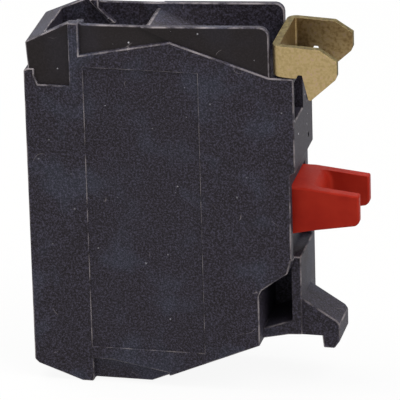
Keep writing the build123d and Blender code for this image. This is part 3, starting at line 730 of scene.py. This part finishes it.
# The thread: a round bar whose radius rises and falls once per pitch, shifted by one pitch
# per turn, and tapers off over the last half millimetre. Flat crests come from cutting the
# rise and fall at its top.
def threadMesh(name, shape, z):
    columnCount, rowCount, inHead = 36, 170, 0.02
    around = np.linspace(0, 2 * math.pi, columnCount, endpoint=False)[None, :]
    x = np.linspace(shape["headX"] + inHead, shape["endX"], rowCount)[:, None]
    phase = (x / shape["pitch"] - around / (2 * math.pi)) % 1.0
    ridge = np.clip(1.25 - 2.5 * np.abs(phase - 0.5), 0, 1)
    taper = np.clip((shape["endX"] - x) / shape["taper"], 0, 1)
    start = np.clip((x - shape["headX"]) / shape["runIn"], 0, 1)
    depth = shape["major"] - shape["minor"]
    drop = shape["pointDrop"] * (1 - taper)
    radius = shape["minor"] + depth * ridge * np.minimum(taper, start) - drop
    points = np.stack([x + 0 * around, radius * np.cos(around), z + radius * np.sin(around)], -1)
    rows, columns = points.shape[:2]
    ends = np.array([[x[0, 0], 0, z], [x[-1, 0], 0, z]])
    points = np.concatenate([points.reshape(-1, 3), ends]) * mm
    count = rows * columns
    return meshFrom(name, points,
                    [gridFaces(rows, columns, across=True),
                     fanFaces(np.arange(columns), count, True),
                     fanFaces(np.arange(count - columns, count), count + 1, False)])


# The solid is cut behind its head, closed there, and the thread is set against it
def makeScrew(level, sign, shape):
    name = "screw_" + level
    clear = 2e-6   # m from the head's underside
    thread = threadMesh(name, shape, sign * shape["z"])
    solid = mergedSolid("terminal_screw_" + level)
    cut = bmesh.ops.bisect_plane(solid, geom=solid.verts[:] + solid.edges[:] + solid.faces[:],
                                 plane_co=(shape["headX"] * mm + clear, 0, 0),
                                 plane_no=(1, 0, 0), clear_outer=True)
    rim = [e for e in cut["geom_cut"] if isinstance(e, bmesh.types.BMEdge)]
    bmesh.ops.holes_fill(solid, edges=rim)
    solid.from_mesh(thread)
    piece = newPiece(name + "_threaded", name, zincMaterial)
    solid.to_mesh(piece.data)
    solid.free()
    shadeByAngle(piece.data, 35)
    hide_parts("terminal_screw_" + level)


makeScrew("top", 1, screwShape)
makeScrew("bottom", -1, screwShape)
print("screws threaded")

# The solids that stay as they are get their material and softened edges, radii in mm
materialOfNode = {"contact_carrier": (nylonMaterial, 0.2),
                  "contact_bridge": (brassMaterial, 0.08)}
for level in ("top", "bottom"):
    materialOfNode["terminal_" + level] = (brassMaterial, 0.06)
    materialOfNode["fixed_contact_" + level] = (silverMaterial, 0.05)
    materialOfNode["bridge_contact_" + level] = (silverMaterial, 0.05)
    materialOfNode["terminal_nut_" + level] = (zincMaterial, 0.12)
    materialOfNode["clamp_washer_" + level] = (zincMaterial, 0.1)
for name, (material, radius) in materialOfNode.items():
    nodes[name].data.materials.clear()
    nodes[name].data.materials.append(material)
    softenNode(name, radius)
print("inner pieces dressed")

# Floor, lights and camera
stageLook = {
    "floorColour": "#C4C3C0",
    "floorSize": 1.2,        # m
    "floorGap": 0.02,        # mm below the object
    "cameraWhite": 0.92,     # share of plain white that the camera and reflections see
    "worldColour": "#F4F5F8",
    "worldStrength": 0.32,
}


# 1 for what the camera, a reflection or a look through glass meets, 0 for the light in the room
def seenDirectly(tree):
    path = addNode(tree, "ShaderNodeLightPath")
    seen = addNode(tree, "ShaderNodeMath", {"operation": "MAXIMUM"},
                   {0: path.outputs["Is Camera Ray"], 1: path.outputs["Is Glossy Ray"]})
    seen = addNode(tree, "ShaderNodeMath", {"operation": "MAXIMUM"},
                   {0: seen.outputs[0], 1: path.outputs["Is Transmission Ray"]})
    return seen.outputs[0]


# Matt pale paint that keeps a trace of the object's shadow under plain white
def paleFloor(look):
    material, tree = newMaterial("paleFloor")
    share = addNode(tree, "ShaderNodeMath", {"operation": "MULTIPLY", 1: look["cameraWhite"]},
                    {0: seenDirectly(tree)})
    paint = addNode(tree, "ShaderNodeBsdfDiffuse", {"Color": linearColour(look["floorColour"])})
    white = addNode(tree, "ShaderNodeEmission", {"Color": (1, 1, 1, 1), "Strength": 1.0})
    mix = addNode(tree, "ShaderNodeMixShader",
                  links={0: share.outputs[0], 1: paint.outputs[0], 2: white.outputs[0]})
    addNode(tree, "ShaderNodeOutputMaterial", links={"Surface": mix.outputs[0]})
    return material


# One square just under the object
def makeFloor(look):
    half = look["floorSize"] / 2
    z = cadBox[0][2] - look["floorGap"] * mm
    mesh = bpy.data.meshes.new("floor")
    corners = [(-half, -half, z), (half, -half, z), (half, half, z), (-half, half, z)]
    mesh.from_pydata(corners, [], [(0, 1, 2, 3)])
    mesh.materials.append(paleFloor(look))
    floor = bpy.data.objects.new("floor", mesh)
    bpy.context.scene.collection.objects.link(floor)


# Soft light from all round, and plain white behind it
def makeWorld(look):
    world = bpy.data.worlds.new("studio")
    bpy.context.scene.world = world
    world.use_nodes = True
    tree = world.node_tree
    tree.nodes.clear()
    soft = addNode(tree, "ShaderNodeBackground",
                   {"Color": linearColour(look["worldColour"]),
                    "Strength": look["worldStrength"]})
    white = addNode(tree, "ShaderNodeBackground", {"Color": (1, 1, 1, 1), "Strength": 1.0})
    mix = addNode(tree, "ShaderNodeMixShader",
                  links={0: seenDirectly(tree), 1: soft.outputs[0], 2: white.outputs[0]})
    addNode(tree, "ShaderNodeOutputWorld", links={"Surface": mix.outputs[0]})


# Azimuth and elevation in degrees, size and distance in metres, power in watts
lamps = {
    "keyPanel": {"azimuth": 66, "elevation": 54, "distance": 0.5, "size": 0.35, "power": 2.5},
    "fillPanel": {"azimuth": -18, "elevation": 20, "distance": 0.6, "size": 0.45, "power": 0.6},
    "topPanel": {"azimuth": -90, "elevation": 65, "distance": 0.5, "size": 0.3, "power": 2.6},
    "backPanel": {"azimuth": 190, "elevation": 30, "distance": 0.6, "size": 0.4, "power": 0.5},
}


# Direction from the object towards azimuth and elevation; azimuth 0 is on the near side
def direction(azimuth, elevation):
    a, e = math.radians(azimuth), math.radians(elevation)
    return Vector((math.sin(a) * math.cos(e), -math.cos(a) * math.cos(e), math.sin(e)))


# Square soft panels that face the object
def makeLamps(settings):
    for name, lamp in settings.items():
        data = bpy.data.lights.new(name, "AREA")
        data.shape = "SQUARE"
        data.size = lamp["size"]
        data.energy = lamp["power"]
        panel = bpy.data.objects.new(name, data)
        towards = direction(lamp["azimuth"], lamp["elevation"])
        panel.location = towards * lamp["distance"]
        panel.rotation_euler = towards.to_track_quat("Z", "Y").to_euler()
        bpy.context.scene.collection.objects.link(panel)


# Degrees, metres, and the lens in millimetres. Aim moves the camera to the right and up, and
# middle is the point it would otherwise look at.
cameraSettings = {
    "azimuth": 13.0, "elevation": 22.5, "roll": -1.6, "distance": 0.600, "lens": 490.7,
    "middle": (-0.011, 0.0, 0.0), "aim": (-0.00077, -0.0007),
}


# The camera stands back from the middle along its view, and is turned about it by the roll
def makeCamera(settings):
    data = bpy.data.cameras.new("camera")
    data.sensor_width = 36.0
    data.lens = settings["lens"]
    data.clip_start = 0.01
    data.clip_end = 10.0
    camera = bpy.data.objects.new("camera", data)
    back = direction(settings["azimuth"], settings["elevation"])
    turn = back.to_track_quat("Z", "Y").to_matrix()
    roll = math.radians(settings["roll"])
    right, up = turn.col[0].copy(), turn.col[1].copy()
    rightRolled = right * math.cos(roll) + up * math.sin(roll)
    upRolled = up * math.cos(roll) - right * math.sin(roll)
    place = (Vector(settings["middle"]) + back * settings["distance"]
             + rightRolled * settings["aim"][0] + upRolled * settings["aim"][1])
    axes = Matrix((rightRolled, upRolled, back)).transposed().to_4x4()
    camera.matrix_world = Matrix.Translation(place) @ axes
    bpy.context.scene.collection.objects.link(camera)
    bpy.context.scene.camera = camera


makeFloor(stageLook)
makeWorld(stageLook)
makeLamps(lamps)
makeCamera(cameraSettings)
bpy.context.scene.view_settings.view_transform = "Standard"
print("stage, lamps and camera placed")
